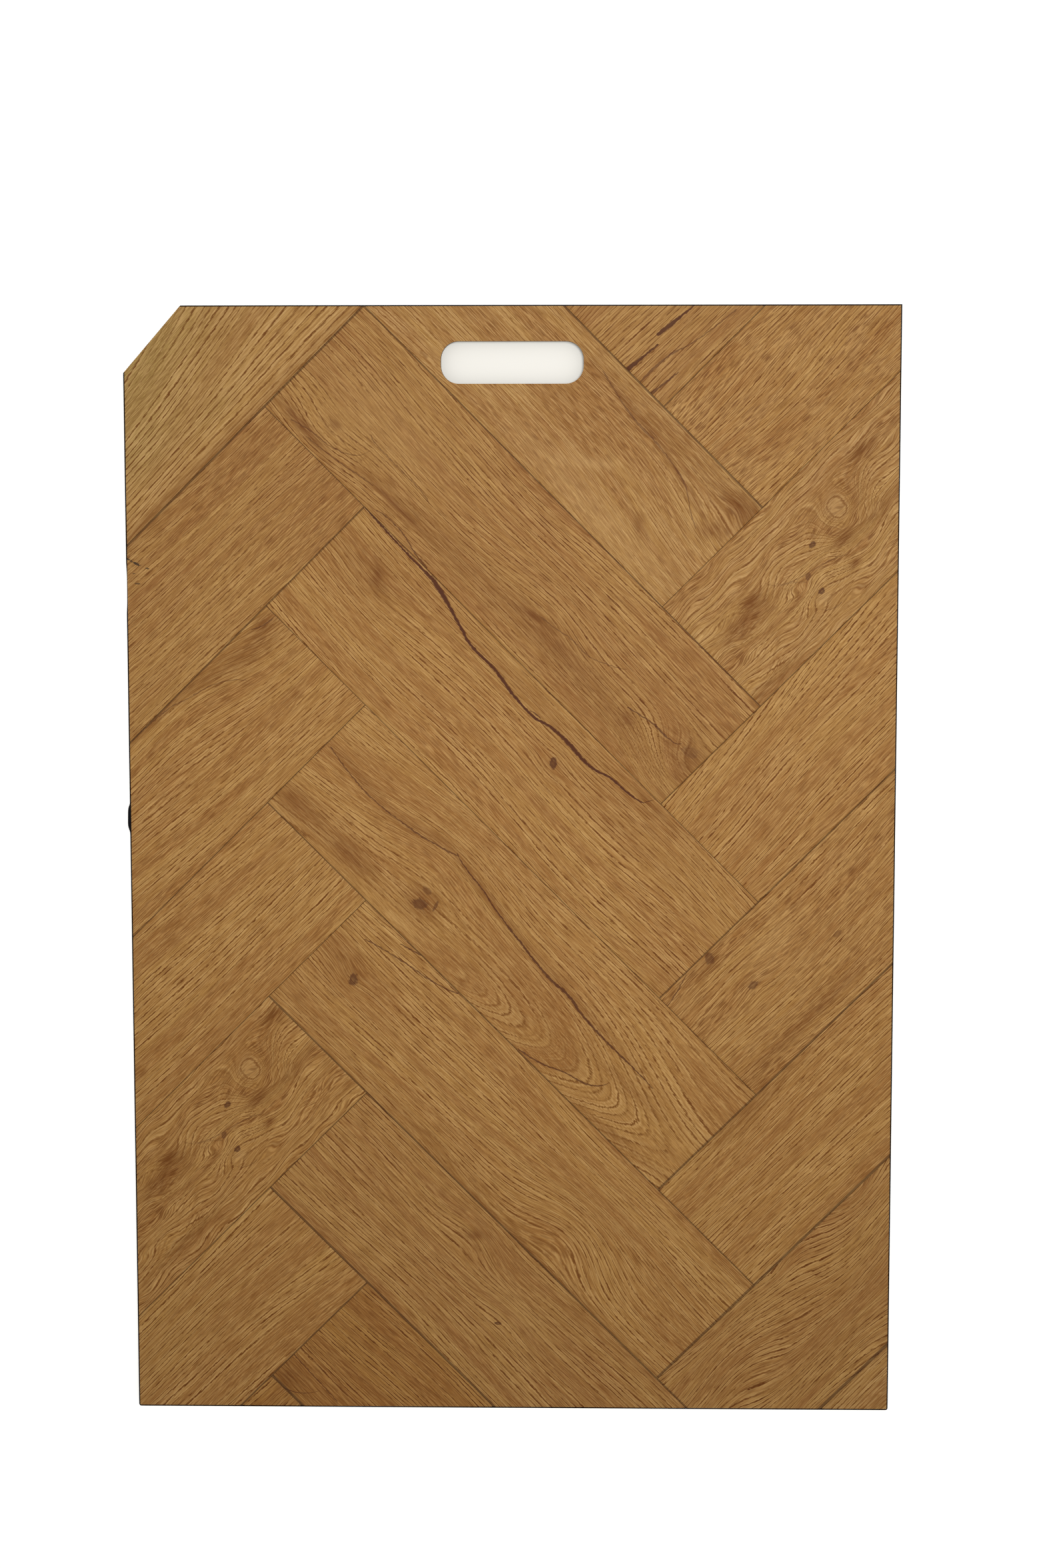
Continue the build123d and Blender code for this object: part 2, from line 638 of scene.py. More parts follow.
    def print_lines(self, colour: Socket) -> tuple[Socket, Socket]:
        """Print the ring lines, the fainter lines between them, the pores and the fine hairs.

        Each ring starts with a dark row of pores, broken into short dashes along the fibres, and has
        a painted highlight on both sides, which stands in for light on the embossed relief.

        Args:
            colour: the ground's colour.

        Returns:
            The colour with the lines on it, and how dark the lines are.
        """
        grain, inks = self.grain, self.inks
        ring = self.add("Math", self.times(self.rings, 1 / grain.ring_spacing), operation="FRACT")
        between = self.times(self.rings, FAINT_LINES / grain.ring_spacing)
        between = self.add("Math", between, operation="FRACT")
        gaps = self.noise(self.fibre, SIZES.gap)
        lively = self.add("Math", self.calm, *TONING.lines_by_calm, **ADD_SHARE)

        dashes = self.add("Math", gaps, TONING.gap_weight, self.dashes, **ADD_SHARE)
        least = 1 - TONING.dash_loss * grain.broken
        dashes = self.add("MapRange", dashes, *TONING.dash_fade, least, 1.0, **SMOOTH)
        dark = self.times(self.curve(ring, RING_DARK), dashes, lively, grain.lines)
        whole = self.add("MapRange", gaps, *TONING.faint_fade, 1.0, TONING.faint_least, **SMOOTH)
        faint = self.times(self.curve(between, FAINT_DARK), whole, TONING.faint)
        loose = self.add("Math", self.calm, *TONING.pores_by_calm, **ADD_SHARE)
        pores = self.times(self.streaks(self.bent, SIZES.pore), loose, grain.pores)
        lines = self.largest(dark, faint, pores)

        # Painted highlight on both sides of each row of pores, standing in for light on the embossed
        # relief, broken up by the gaps and fainter in calm places
        edges = self.add("MapRange", gaps, *TONING.painted_highlight_fade, TONING.painted_highlight_least, 1.0, **SMOOTH)
        pale_and_painted_highlight = self.add("Math", lively, *TONING.painted_highlight_by_lines, **ADD_SHARE)
        pale_and_painted_highlight = self.times(self.curve(ring, RING_PAINTED_HIGHLIGHT), edges, pale_and_painted_highlight)
        hairs = self.noise(self.bent, SIZES.hair)
        pale_hairs = self.add("MapRange", hairs, *SIZES.hair.fade, 0.0, TONING.pale_hair, **SMOOTH)
        dark_hairs = self.add("MapRange", hairs, *TONING.dark_hair_fade, 0.0, TONING.dark_hair, **SMOOTH)
        # Pale hairs, then the painted highlight, both in the pale ink
        for share in (pale_hairs, pale_and_painted_highlight):
            colour = self.lay_ink(share, colour, inks.pale_and_painted_highlight)
        for share in (lines, dark_hairs):
            colour = self.lay_ink(share, colour, inks.pore)
        return colour, lines

    def print_patches(self, colour: Socket) -> Socket:
        """Print the darker and lighter patches.

        Args:
            colour: the colour under them.

        Returns:
            The colour with the patches on it.
        """
        streaked = self.add("Math", self.stains, *TONING.patch_by_streak, **ADD_SHARE)
        for patch, hill in self.patches:
            ink = self.inks.pore if patch.strength > 0 else self.inks.pale_and_painted_highlight
            colour = self.lay_ink(self.times(hill, streaked, abs(patch.strength)), colour, ink)
        return colour

    def knot(self, knot: Spot) -> Socket:
        """Draw a knot with a rough outline.

        Args:
            knot: the knot's spot.

        Returns:
            How dark it is.
        """
        rough = self.hill(self.place, knot)
        rough = self.add("Math", self.dashes, TONING.knot_dashes, rough, **ADD_SHARE)
        rough = self.add("Math", self.rags, TONING.knot_rags, rough, **ADD_SHARE)
        rough = self.add("Math", rough, TONING.knot_level, operation="SUBTRACT")
        return self.times(self.curve(rough, KNOT_DARK), knot.strength)

    def crack(self, torn: Socket, crack: Crack) -> Socket:
        """Draw a crack.

        Args:
            torn: how far its sides are out of line, in millimetres.
            crack: the crack.

        Returns:
            How dark it is, from 0 beside it.
        """
        along, across, _ = self.add("SeparateXYZ", self.place).node.outputs
        first, last = crack.places[0][0], crack.places[-1][0]
        sides = [side for _, side, _ in crack.places]
        widest = max(width for _, _, width in crack.places)
        low, reach = min(sides), max(max(sides) - min(sides), 1.0)
        share = self.add("MapRange", along, first, last, 0.0, 1.0)
        span = (last - first) / (1 - 2 * CRACK_MARGIN)
        shares = [CRACK_MARGIN + (at - first) / span for at, _, _ in crack.places]
        line = self.curve(share, [(x, (side - low) / reach) for x, side in zip(shares, sides)])
        widths = [(x, width / widest) for x, (_, _, width) in zip(shares, crack.places)]
        half = self.curve(share, [(0, 0), *widths, (1, 0)])
        half = self.add("Math", half, widest / 2, SIZES.thinnest_crack / 2, **ADD_SHARE)
        middle = self.add("Math", line, reach, low, **ADD_SHARE)
        away = self.add("Math", across, middle, operation="SUBTRACT")
        away = self.add("Math", self.add("Math", away, torn, operation="ADD"), operation="ABSOLUTE")
        away = self.add("Math", away, half, operation="DIVIDE")
        return self.add("MapRange", away, *TONING.crack_side, crack.darkness, 0.0, **SMOOTH)

    def print_marks(self, colour: Socket, lines: Socket) -> tuple[Socket, Socket]:
        """Print the knots and cracks.

        Args:
            colour: the colour under them.
            lines: how dark the lines are.

        Returns:
            The colour with the marks on it, and how dark the lines and marks are.
        """
        torn = self.add("Math", self.rags, *TONING.torn_by_rags, **ADD_SHARE)
        marks = [self.knot(knot) for knot in self.grain.knots]
        marks += [self.crack(torn, crack) for crack in self.grain.cracks]
        if not marks:
            return colour, lines
        opened = self.largest(*marks)
        return self.lay_ink(opened, colour, CRACK_INK), self.largest(lines, opened)

    def rub_scuffs(self, colour: Socket) -> Socket:
        """Rub the plank's dark scuffs onto it.

        Args:
            colour: the colour under them.

        Returns:
            The colour with the scuffs on it.
        """
        for scuff in self.plank.scuffs:
            streaked = self.noise(self.stock, SIZES.rub)
            streaked = self.add("Math", streaked, *TONING.scuff_by_streak, **ADD_SHARE)
            rubbed = self.times(self.hill(self.stock, scuff), streaked)
            rubbed = self.add("MapRange", rubbed, *TONING.scuff_fade, 0.0, scuff.strength, **SMOOTH)
            colour = self.lay_ink(rubbed, colour, SCUFF_INK)
        return colour

    def edge_distance(self) -> Socket:
        """Measure how far each place is inside the edges of the whole plank.

        Returns:
            The distance, in millimetres.
        """
        inside = self.add("VectorMath", self.stock, operation="ABSOLUTE")
        inside = self.add("VectorMath", self.half_size, inside, operation="SUBTRACT")
        end_edge, side_edge, _ = self.add("SeparateXYZ", inside).node.outputs
        return self.add("Math", end_edge, side_edge, operation="MINIMUM")

    def show_core(self, colour: Socket) -> Socket:
        """Show the dark core on cut sides, below the printed film.

        Args:
            colour: the printed colour.

        Returns:
            The colour of print and core.
        """
        up = self.add("SeparateXYZ", self.spot).node.outputs[2]
        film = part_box(self.plank.node)[1].z - self.vinyl.film_depth
        core = self.add("MapRange", up, film - self.vinyl.film_blur, film, 1.0, 0.0, **SMOOTH)
        return self.lay_ink(core, colour, self.vinyl.core_ink)

    def build(self) -> Material:
        """Draw the whole material.

        Returns:
            The finished material.
        """
        vinyl = self.vinyl
        colour, lines = self.print_lines(self.ground())
        colour = self.print_patches(colour)
        colour, lines = self.print_marks(colour, lines)
        colour = self.rub_scuffs(colour)

        # The pressed bevel is a little darker and not embossed, with a thin dark line in the joint
        edge = self.edge_distance()
        bevel = self.add("MapRange", edge, *SIZES.bevel, TONING.bevel, 0.0, **SMOOTH)
        colour = self.lay_ink(bevel, colour, self.inks.pore)
        joint = self.add("MapRange", edge, *SIZES.joint, TONING.joint, 0.0, **SMOOTH)
        colour = self.show_core(self.lay_ink(joint, colour, JOINT_INK))

        height = self.times(lines, self.add("MapRange", edge, *SIZES.smooth_rim, 0.0, -1.0, **SMOOTH))
        normal = self.add("Bump", 1.0, vinyl.emboss_depth, {"Height": height})
        roughness = self.add("Math", self.stains, TONING.uneven_sheen, vinyl.roughness, **ADD_SHARE)
        inputs = {"Base Color": colour, "Roughness": roughness, "IOR": vinyl.ior, "Normal": normal}
        inputs["Specular IOR Level"] = vinyl.specular_level
        self.add("OutputMaterial", self.add("BsdfPrincipled", inputs))
        return self.material


# Burr print with an eye, three small knots and wandering cracks, laid in two places
BURR = OakPrint(
    ring_spacing=3.8, wander=2.2, waves=(34, 12), lines=0.9, pores=0.9, seed=5,
    swells=(Spot(171, 40, 50, 26, 4), Spot(171, 4, 50, 26, -4)),
    eyes=(
        Spot(171, 22, 50, 36, 34, 14), Spot(120, -10, 50, 36, -14), Spot(72, 14, 60, 34, 14),
        Spot(28, -22, 60, 40, -10), Spot(216, -20, 60, 40, -10),
    ),
    knots=(Spot(137.5, 17, 6, 4, 0.75), Spot(117, 1, 6, 4, 0.6, 30), Spot(116.5, -15, 6, 4.2, 0.8)),
    patches=(
        Spot(171, 27, 14, 10, -0.35, 20), Spot(171, 22, 60, 40, 0.14, 14), Spot(115, -20, 12, 9, -0.35),
        Spot(218, 44, 22, 8, 0.6), Spot(159, 3, 22, 9, 0.5), Spot(70, 19, 20, 11, 0.6),
        Spot(56, 10, 54, 18, 0.42), Spot(152, -18, 12, 6, 0.5), Spot(36, -40, 80, 10, 0.25),
        Spot(200, 0, 60, 12, 0.25),
    ),
    cracks=(
        Crack.through(
            0.4, (94, 15, 0.8), (101, 9, 0.9), (112, 5, 0.8), (124, 2, 0.8), (139, -2, 0.9),
            (152, -8, 0.7),
        ),
        Crack.through(0.35, (88, 22, 0.7), (93, 14, 0.8), (105, 6, 0.8), (113, -1, 0.8)),
        Crack.through(0.4, (104, -20, 0.7), (110, -30, 0.8), (122, -33, 0.7)),
    ),
)
LEFT_PRINTS = (
    OakPrint(
        heart=(0, -62), fan=0.17, ring_spacing=3.9, lines=0.95, broken=0.35, wander=2, pores=0.3, seed=1,
        olive_tints=(Spot(56, 54, 190, 110, 0.85), Spot(10, -4, 110, 60, 0.6), Spot(86, -30, 70, 20, 0.3)),
        patches=(Spot(0, -55, 460, 13, 0.3),),
    ),
    OakPrint(
        turn=-3, ring_spacing=3.0, wander=2.5, lines=0.85, pores=0.7, seed=2,
        patches=(Spot(-40, 55, 320, 10, 0.25),),
    ),
    OakPrint(
        turn=-3, ring_spacing=3.3, lines=0.9, pores=0.7, seed=3,
        swells=(Spot(222, 34, 150, 80, -20),),
        patches=(
            Spot(217, 48, 26, 10, 0.5), Spot(195, 42, 80, 26, 0.28), Spot(150, 50, 100, 12, 0.25, -14),
            Spot(105, 56, 70, 6, 0.3),
        ),
        cracks=(
            Crack.through(
                0.55, (70, 57.5, 0.8), (98, 56, 1.0), (114, 54, 0.9), (129, 49, 0.9), (145, 45, 0.9),
                (159, 38.6, 0.9), (173, 27, 0.7),
            ),
            Crack.through(0.6, (205, 52, 0.7), (214, 48, 1.2), (225, 46, 0.8)),
        ),
    ),
    OakPrint(heart=(0, -170), turn=-2, ring_spacing=3.0, wander=2.5, pores=0.6, seed=4),
    BURR,
    OakPrint(heart=(0, 70), fan=0.08, lines=1.1, seed=6, patches=(Spot(-60, 20, 200, 14, 0.25),)),
    OakPrint(ring_spacing=3.3, seed=7),
)
MIDDLE_PRINTS = (
    OakPrint(
        heart=(0, -190), ring_spacing=2.8, wander=2.5, lines=0.7, pores=0.8, seed=11,
        swells=(Spot(250, -14, 220, 100, -24), Spot(214, 44, 30, 20, 3)),
        patches=(
            Spot(214, 44, 44, 22, 0.4), Spot(226, 50, 20, 14, 0.3), Spot(150, 44, 170, 24, 0.2),
            Spot(100, 38, 90, 5, 0.35, -5), Spot(170, 26, 70, 6, 0.35, -12),
            Spot(168, -24, 22, 9, 0.35, -45), Spot(104, -16, 44, 10, -0.3, 38),
            Spot(110, -40, 200, 26, -0.2), Spot(212, 16, 34, 14, 0.3, 40),
        ),
        cracks=(
            Crack.through(
                0.5, (58, 43, 1.2), (80, 38, 1.4), (95, 35, 1.6), (113, 33.5, 1.8), (132, 33, 1.2),
                (149, 31, 1.0), (168, 27, 1.4), (178, 22, 1.0), (190, 14, 1.0), (202, 8, 0.8),
            ),
        ),
    ),
    OakPrint(
        ring_spacing=3.3, seed=12,
        swells=(Spot(56, -5, 90, 40, 6),),
        eyes=(Spot(-176, -26, 70, 42, 8), Spot(226, -20, 90, 56, 34)),
        knots=(Spot(214, -10, 13, 9, 0.3, 20),),
        patches=(
            Spot(-176, -26, 40, 24, -0.12), Spot(-150, 4, 120, 44, -0.18), Spot(-177, -27, 12, 9, 0.28),
            Spot(-196, -46, 56, 9, 0.5, -4), Spot(-96, -38, 70, 5, 0.45), Spot(-60, -33, 150, 22, 0.2),
            Spot(46, -22, 26, 7, 0.45, 10), Spot(75, -26, 160, 24, 0.3), Spot(159, -27, 17, 11, 0.4),
            Spot(216, -14, 40, 32, 0.28), Spot(160, -38, 110, 20, 0.15),
        ),
        cracks=(
            Crack.through(
                0.55, (-206, -49, 1.0), (-186, -44, 0.9), (-169, -42, 0.9), (-150, -34, 0.9),
                (-142, -21, 0.7),
            ),
            Crack.through(0.6, (-188, -50, 0.6), (-149, -45, 0.9), (-135, -42, 1.2), (-121, -40, 0.8)),
            Crack.through(
                0.55, (-152, -10, 0.5), (-146, -14, 0.9), (-116, -15, 1.0), (-97, -15, 1.0),
                (-80, -17, 0.8),
            ),
            Crack.through(
                0.7, (-106, -52, 0.8), (-86, -49.5, 1.0), (-70, -51.5, 1.2), (-57, -54.5, 1.4),
                (-43, -56, 1.6),
            ),
            Crack.through(
                0.5, (50, -18, 0.6), (62, -16.8, 1.0), (81, -13.4, 1.0), (99, -13.4, 1.0), (112, -9, 0.9),
                (130, 0.7, 0.6),
            ),
            Crack.through(
                0.75, (152, -20, 0.8), (165, -17, 1.3), (179, -14.6, 1.4), (193, -14.6, 1.2),
                (205, -10, 0.8),
            ),
        ),
    ),
    OakPrint(
        heart=(0, -200), ring_spacing=3.1, seed=13,
        swells=(Spot(-178, 14, 90, 44, -6), Spot(28, 26, 26, 16, 2), Spot(28, 12, 26, 16, -2)),
        knots=(Spot(28, 18.7, 9.5, 5.5, 0.8, -45),),
        patches=(
            Spot(-181, 24, 22, 11, 0.5, -45), Spot(-190, 22, 80, 36, 0.25), Spot(28, 18.7, 24, 16, 0.2),
            Spot(0, 44, 340, 20, 0.16), Spot(120, 22, 160, 26, 0.12), Spot(112, 51, 60, 5, 0.4),
        ),
        cracks=(
            Crack.through(
                0.95, (-228, 57, 1.6), (-190, 55, 1.8), (-170, 54.5, 2.0), (-150, 54.5, 3.6),
                (-143, 53.5, 4.2), (-132, 51, 3.8), (-121, 48, 3.0), (-100, 42, 2.6), (-84, 38.5, 2.6),
                (-62, 38.7, 2.4), (-46, 36.4, 2.8), (-28, 34.2, 2.2), (-12, 33.6, 2.0), (0, 36, 2.4),
                (17, 38.7, 2.6), (29, 38.7, 3.4), (46, 37.6, 3.0), (58, 38.7, 2.2), (74, 43.3, 2.0),
                (91, 44.4, 1.6), (108, 50, 1.0),
            ),
            Crack.through(0.8, (-64, 39.5, 0.6), (-50, 38.2, 1.0), (-42, 36.5, 0.6)),
            Crack.through(0.8, (-16, 35, 0.5), (-11, 36.5, 0.9), (-5, 37, 0.5)),
        ),
    ),
    OakPrint(
        heart=(58, -34), turn=5, arch=52, arch_width=150, tip=14, reach=(90, 180), ring_spacing=3.0,
        wander=2.5, lines=0.9, seed=14,
        swells=(Spot(-88, 14, 120, 64, 14),),
        knots=(
            Spot(-80.4, -28, 13, 8, 0.6, 30), Spot(-84, -16, 8, 5, 0.4),
            Spot(-70, -20, 10, 2.2, 0.6, 108),
        ),
        patches=(
            Spot(-208, -41, 50, 24, 0.4), Spot(-150, -40, 56, 20, 0.42), Spot(-190, 12, 90, 8, 0.35, -3),
            Spot(-120, 16, 60, 10, 0.3, 18), Spot(-50, 17, 90, 9, 0.35, -8),
            Spot(60, 7, 190, 8, 0.25, -3), Spot(-80, -25, 34, 24, 0.42), Spot(165, -52, 110, 9, 0.25, 6),
            Spot(150, -14, 90, 12, 0.2, 4), Spot(50, -28, 210, 60, 0.09),
        ),
        cracks=(
            Crack.through(
                0.7, (-224, 12, 0.9), (-194, 7.4, 1.1), (-172, 6.2, 1.1), (-154, 7.4, 1.1),
                (-136, 10, 1.1), (-121, 12.3, 1.5), (-110, 15.1, 1.2), (-93, 19.8, 1.6), (-85, 22.7, 0.8),
            ),
            Crack.through(
                0.85, (-89, 23, 0.8), (-72, 19.2, 1.2), (-59, 18, 1.2), (-36, 13.3, 1.3),
                (-17, 10.5, 1.6), (3, 8, 1.8), (21, 5.6, 1.8), (43, 4.2, 2.4), (58, 5.2, 2.6),
                (77, 2.1, 2.2), (97, 0.6, 1.8), (120, 0.2, 1.6), (142, 0.5, 1.2), (165, 0, 0.8),
            ),
            Crack.through(
                0.8, (62, -56, 0.8), (84, -51, 1.4), (105, -42, 1.3), (120, -38, 1.4), (128, -34, 1.6),
                (135, -26, 1.2), (137, -16, 0.8),
            ),
        ),
    ),
    OakPrint(
        heart=(0, -190), ring_spacing=3.1, wander=3, pores=0.6, seed=15,
        swells=(Spot(92, -22, 96, 60, 19), Spot(-188, 2, 34, 22, -4)),
        knots=(Spot(-188.5, 2, 10, 6.5, 0.75, -45),),
        patches=(Spot(-200, 8, 50, 30, 0.2), Spot(-40, -48, 220, 12, 0.22), Spot(60, -56, 260, 5, 0.35)),
        cracks=(
            Crack.through(
                0.7, (-206, 33, 0.8), (-188, 38, 1.2), (-170, 42, 1.2), (-152, 45.3, 1.3),
                (-135, 49, 1.2), (-119, 55, 1.0),
            ),
            Crack.through(0.75, (-182, 51, 0.8), (-171, 54, 1.2), (-160, 57.5, 0.8)),
        ),
    ),
    OakPrint(
        heart=(0, -180), ring_spacing=3.6, wander=3.5, seed=16,
        swells=(Spot(-78, 34, 60, 34, 9), Spot(-12, 4, 60, 26, 6)),
        knots=(Spot(-12, -5, 5, 2.4, 0.8, 45),),
        patches=(Spot(-78, 35, 20, 9, 0.4, 45), Spot(-10, 10, 90, 24, -0.1)),
    ),
    OakPrint(
        heart=(0, -160), lines=1.15, seed=17,
        patches=(Spot(-217, -50, 36, 20, 0.35),),
        cracks=(
            Crack.through(0.7, (-230, -32, 0.8), (-205, -33, 1.0), (-172, -35, 0.6)),
            Crack.through(0.7, (-214, -59, 0.8), (-200, -52, 0.9), (-190, -40, 0.5)),
        ),
    ),
)
RIGHT_PRINTS = (
    OakPrint(ring_spacing=3.0, wander=5, pores=0.9, ripple=0.75, seed=21),
    BURR,
    OakPrint(heart=(-120, -66), fan=0.1, lines=1.1, ripple=0.2, seed=23),
    OakPrint(
        ring_spacing=3.3, pores=0.9, ripple=0.4, seed=24,
        swells=(Spot(-165, 10, 40, 24, 3),),
        knots=(Spot(-175, 51, 10, 7, 0.55, 60), Spot(-165, 10, 9, 5.5, 0.6), Spot(-86, -8, 7, 4, 0.4)),
        patches=(
            Spot(-158, -42, 150, 12, 0.3), Spot(-178, 47, 30, 12, 0.3), Spot(-130, 20, 60, 30, -0.2),
        ),
        cracks=(Crack.through(0.7, (-228, 47, 0.8), (-214, 50, 1.2), (-198, 55, 0.8)),),
    ),
    OakPrint(ring_spacing=3.0, wander=2, pores=0.6, seed=25, patches=(Spot(-120, 51, 110, 14, 0.3),)),
    OakPrint(
        heart=(0, -140), turn=-3, ring_spacing=3.1, wander=7, waves=(130, 50), seed=26,
        swells=(Spot(0, 54, 60, 20, -8), Spot(-98, 53, 40, 20, -6)),
    ),
    OakPrint(heart=(0, -140), ring_spacing=3.3, seed=27),
)
TOP_PRINT = OakPrint(
    ring_spacing=3.6, wander=3, ripple=0.2, seed=31,
    cracks=(
        Crack.through(0.9, (-20, -183, 2.2), (-10, -184.4, 3.8), (2, -185.6, 2.6), (18, -187.4, 1.0)),
        Crack.through(0.9, (-62, -185.2, 4.4), (-50, -186.4, 3.4), (-40, -187.4, 2.4), (-24, -189, 1.0)),
        Crack.through(
            0.6, (-60, -200, 1.4), (-30, -200.6, 1.8), (-6, -207, 1.2), (18, -211, 1.0),
            (40, -213.3, 0.8),
        ),
        Crack.through(0.75, (-60, -212.4, 2.4), (-44, -214.4, 1.8), (-28, -216.2, 0.8)),
    ),
)
SCUFFS = (
    Spot(61, 49.1, 4.5, 1.6, 0.85, -67),
    Spot(61.7, 46.3, 3.2, 2, 0.75, -60),
    Spot(63.2, 41.9, 7, 2.2, 0.9, -70),
    Spot(66.7, 33.2, 3.6, 1.3, 0.8, -62),
    Spot(56, 38, 2.6, 1.0, 0.6, -50),
    Spot(52.3, 30, 5.6, 1.5, 0.7, -45),
)
TONES = {
    "left": (Tone.LIGHT, Tone.BROWN, Tone.MEDIUM, Tone.MEDIUM, Tone.MEDIUM, Tone.MEDIUM, Tone.DARK),
    "middle": (Tone.LIGHT, Tone.BROWN, Tone.MEDIUM, Tone.MEDIUM, Tone.MEDIUM, Tone.BROWN, Tone.DARK),
    "right": (Tone.MEDIUM, Tone.LIGHT, Tone.MEDIUM, Tone.MEDIUM, Tone.MEDIUM, Tone.BROWN, Tone.LIGHT),
}
# Columns of the field: each one's name, its place from the middle, its first row and its prints
COLUMNS = (
    ("left", -1, 0, LEFT_PRINTS),
    ("middle", 0, 0, MIDDLE_PRINTS),
    ("right", 1, -1, RIGHT_PRINTS),
)


@dataclass
class HerringboneField:
    """The vinyl planks of the panel's face.

    Two planks carry the burr print. The right one's is shifted along its length and across.
    """

    vinyl: PrintedVinyl = PrintedVinyl()
    burr_shift: Pair = (-243.0, -10.0)

    def planks(self) -> list[Plank]:
        """List every plank with its print and tone.

        Returns:
            The planks, column by column, and the filler last.
        """
        found = []
        for name, column, first_row, prints in COLUMNS:
            for count, (grain, tone) in enumerate(zip(prints, TONES[name])):
                node = f"{name}_plank_{count + 1}"
                shift = self.burr_shift if grain is BURR and name == "right" else (0.0, 0.0)
                scuffs = SCUFFS if node == "left_plank_2" else ()
                found.append(Plank(node, column, first_row + count, tone, grain, shift, scuffs=scuffs))
        found.append(Plank("top_filler", 0, -1, Tone.BROWN, TOP_PRINT, cross_cut=True))
        return found

    def dress(self) -> list[str]:
        """Dress every plank.

        Returns:
            The nodes that were dressed.
        """
        lattice = Lattice.from_frame()
        planks = self.planks()
        for plank in planks:
            dress(plank.node, PlankFinish(plank, lattice, self.vinyl).build())
        return [plank.node for plank in planks]


@dataclass(frozen=True)
class BlackBoardFinish:
    """Black-dyed high-density fibreboard, sanded flat.

    Dyed through, so its cut sides are as dark as its faces. Sanding leaves a dry, dull black
    with paler fibre flecks and a faint directional scratch. Both are finer on the real board, and
    are drawn as coarse as they need to show.
    """

    board_ink: str = "#1C1B1A"
    fleck_ink: str = "#3A3733"
    roughness: float = 0.78
    ior: float = 1.48
    fleck_size: float = 1.2
    scratch_length: float = 40.0
    scratch_width: float = 0.6
    nap_depth: float = 0.05 * MM
    fleck_fade: Pair = (0.52, 0.72)
    fleck_share: float = 0.7
    rough_spread: float = 0.08

    def build(self) -> Material:
        """Draw the fibreboard's material.

        Returns:
            The finished material.
        """
        material, tree = new_material("black_dyed_fibreboard")
        place = millimetres(tree)
        fleck_place = add_node(tree, "Mapping", place, None, None, (1 / self.fleck_size,) * 3)
        flecks = add_node(tree, "TexNoise", fleck_place, 1.0, 3.0, 0.6)
        scratch_scale = (1 / self.scratch_length, 1 / self.scratch_width, 1 / self.scratch_width)
        scratch_place = add_node(tree, "Mapping", place, None, None, scratch_scale)
        scratches = add_node(tree, "TexNoise", scratch_place, 1.0, 1.0, 0.5)
        share = add_node(tree, "MapRange", flecks, *self.fleck_fade, 0.0, self.fleck_share)
        board, fleck = linear(self.board_ink), linear(self.fleck_ink)
        colour = add_node(tree, "Mix", share, board, fleck, data_type="RGBA")
        nap = add_node(tree, "Math", flecks, 0.6, scratches, **ADD_SHARE)
        normal = add_node(tree, "Bump", 0.6, self.nap_depth, {"Height": nap})
        smoothest, roughest = self.roughness - self.rough_spread, self.roughness + self.rough_spread
        roughness = add_node(tree, "MapRange", scratches, 0.3, 0.7, smoothest, roughest)
        inputs = {"Base Color": colour, "Roughness": roughness, "IOR": self.ior, "Normal": normal}
        add_node(tree, "OutputMaterial", add_node(tree, "BsdfPrincipled", inputs))
        return material


@dataclass(frozen=True)
class BandFinish:
    """Black ABS edge band, extruded, glued on and trimmed flush.

    The extruded face has a very low, satin sheen, and its worn places are a little greyer and
    duller. The faint lines along it are drawn as coarse as they need to show.
    """

    band_ink: str = "#070609"
    worn_ink: str = "#1A181C"
    ior: float = 1.53
    specular_level: float = 0.04
    line_length: float = 50.0
    line_height: float = 0.5
    wear_size: float = 9.0
    line_depth: float = 0.02 * MM
    wear_fade: Pair = (0.5, 0.8)
    worn_share: float = 0.5
    worn_roughness: float = 0.66
    fresh_roughness: float = 0.4

    def build(self) -> Material:
        """Draw the edge band's material.

        Returns:
            The finished material.
        """
        material, tree = new_material("satin_black_abs_band")
        place = millimetres(tree)
        line_scale = (1 / self.line_length, 1 / self.line_length, 1 / self.line_height)
        line_place = add_node(tree, "Mapping", place, None, None, line_scale)
        lines = add_node(tree, "TexNoise", line_place, 1.0, 2.0, 0.5)
        wear_place = add_node(tree, "Mapping", place, None, None, (1 / self.wear_size,) * 3)
        wear = add_node(tree, "TexNoise", wear_place, 1.0, 4.0, 0.6)
        share = add_node(tree, "MapRange", wear, *self.wear_fade, 0.0, self.worn_share)
        band, worn = linear(self.band_ink), linear(self.worn_ink)
        colour = add_node(tree, "Mix", share, band, worn, data_type="RGBA")
        normal = add_node(tree, "Bump", 0.7, self.line_depth, {"Height": lines})
        roughness = add_node(tree, "MapRange", wear, 0.3, 0.8, self.fresh_roughness, self.worn_roughness)
        inputs = {"Base Color": colour, "Roughness": roughness, "IOR": self.ior, "Normal": normal}
        inputs["Specular IOR Level"] = self.specular_level
        add_node(tree, "OutputMaterial", add_node(tree, "BsdfPrincipled", inputs))
        return material


@dataclass
class BackingBoard:
    """The board that carries the planks."""

    node: str = "backing_board"
    finish: BlackBoardFinish = BlackBoardFinish()

    def dress(self) -> list[str]:
        """Dress the board, and give its node."""
        dress(self.node, self.finish.build())
        return [self.node]


@dataclass
class EdgeBand:
    """The two runs of the edge band."""

    nodes: tuple[str, ...] = ("edge_band_top", "edge_band_wrap")
    finish: BandFinish = BandFinish()

    def dress(self) -> list[str]:
        """Dress both runs.

        Returns:
            Their nodes.
        """
        material = self.finish.build()
        for node in self.nodes:
            dress(node, material)
        return list(self.nodes)


